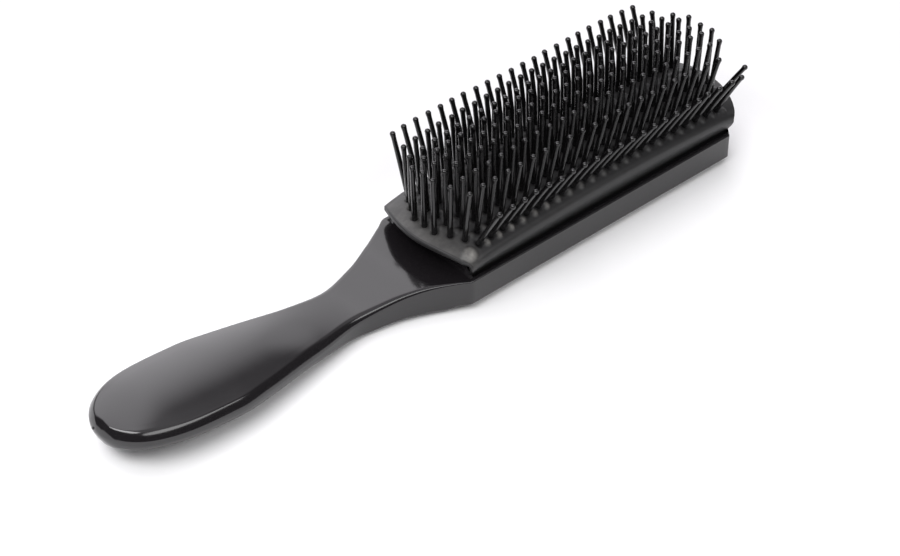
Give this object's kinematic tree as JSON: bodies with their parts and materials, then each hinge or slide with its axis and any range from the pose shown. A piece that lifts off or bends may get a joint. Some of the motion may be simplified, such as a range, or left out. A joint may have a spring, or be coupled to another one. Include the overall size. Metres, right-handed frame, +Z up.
{
  "type": "hair styling brush",
  "caption": "Half-round hair styling brush: a one-piece gloss handle and grooved head, a slide-in rubber pad, and strips of ball-tipped pins standing up through the pad.",
  "frame": {"origin": "bottom centre of the bounding box, on the surface that the back of the head rests on", "axes": "+X from the handle's end to the tip of the head, +Z up along the pins, +Y towards the far long side of the head"},
  "size_m": [0.2288, 0.047, 0.0427],
  "materials": {
    "gloss_black_abs": "gloss",
    "black_rubber": "matte",
    "black_nylon": "satin"
  },
  "bodies": {
    "handle": {"handle": "gloss_black_abs"},
    "pad": {"rubber_pad": "black_rubber"},
    "row_1": {"pin_strip_1": "black_nylon"},
    "row_2": {"pin_strip_2": "black_nylon"},
    "row_3": {"pin_strip_3": "black_nylon"},
    "row_4": {"pin_strip_4": "black_nylon"},
    "row_5": {"pin_strip_5": "black_nylon"},
    "row_6": {"pin_strip_6": "black_nylon"},
    "row_7": {"pin_strip_7": "black_nylon"},
    "row_8": {"pin_strip_8": "black_nylon"},
    "row_9": {"pin_strip_9": "black_nylon"}
  },
  "joints": [
    {"name": "pad_slide", "type": "slide", "parent": "handle", "child": "pad", "axis": [1, 0, 0], "range_m": [0, 0.118]},
    {"name": "row_1_rock", "type": "hinge", "parent": "pad", "child": "row_1", "pos_m": [0.0549, -0.01472, 0.02005], "axis": [1, 0, 0], "range_deg": [-3, 3], "stiffness_Nm_per_rad": 0.05},
    {"name": "row_2_rock", "type": "hinge", "parent": "pad", "child": "row_2", "pos_m": [0.0549, -0.01176, 0.02138], "axis": [1, 0, 0], "range_deg": [-3, 3], "stiffness_Nm_per_rad": 0.05},
    {"name": "row_3_rock", "type": "hinge", "parent": "pad", "child": "row_3", "pos_m": [0.0549, -0.00817, 0.02229], "axis": [1, 0, 0], "range_deg": [-3, 3], "stiffness_Nm_per_rad": 0.05},
    {"name": "row_4_rock", "type": "hinge", "parent": "pad", "child": "row_4", "pos_m": [0.0549, -0.00417, 0.02269], "axis": [1, 0, 0], "range_deg": [-3, 3], "stiffness_Nm_per_rad": 0.05},
    {"name": "row_5_rock", "type": "hinge", "parent": "pad", "child": "row_5", "pos_m": [0.0549, 0, 0.02275], "axis": [1, 0, 0], "range_deg": [-3, 3], "stiffness_Nm_per_rad": 0.05},
    {"name": "row_6_rock", "type": "hinge", "parent": "pad", "child": "row_6", "pos_m": [0.0549, 0.00417, 0.02269], "axis": [1, 0, 0], "range_deg": [-3, 3], "stiffness_Nm_per_rad": 0.05},
    {"name": "row_7_rock", "type": "hinge", "parent": "pad", "child": "row_7", "pos_m": [0.0549, 0.00817, 0.02229], "axis": [1, 0, 0], "range_deg": [-3, 3], "stiffness_Nm_per_rad": 0.05},
    {"name": "row_8_rock", "type": "hinge", "parent": "pad", "child": "row_8", "pos_m": [0.0549, 0.01176, 0.02138], "axis": [1, 0, 0], "range_deg": [-3, 3], "stiffness_Nm_per_rad": 0.05},
    {"name": "row_9_rock", "type": "hinge", "parent": "pad", "child": "row_9", "pos_m": [0.0549, 0.01472, 0.02005], "axis": [1, 0, 0], "range_deg": [-3, 3], "stiffness_Nm_per_rad": 0.05}
  ]
}
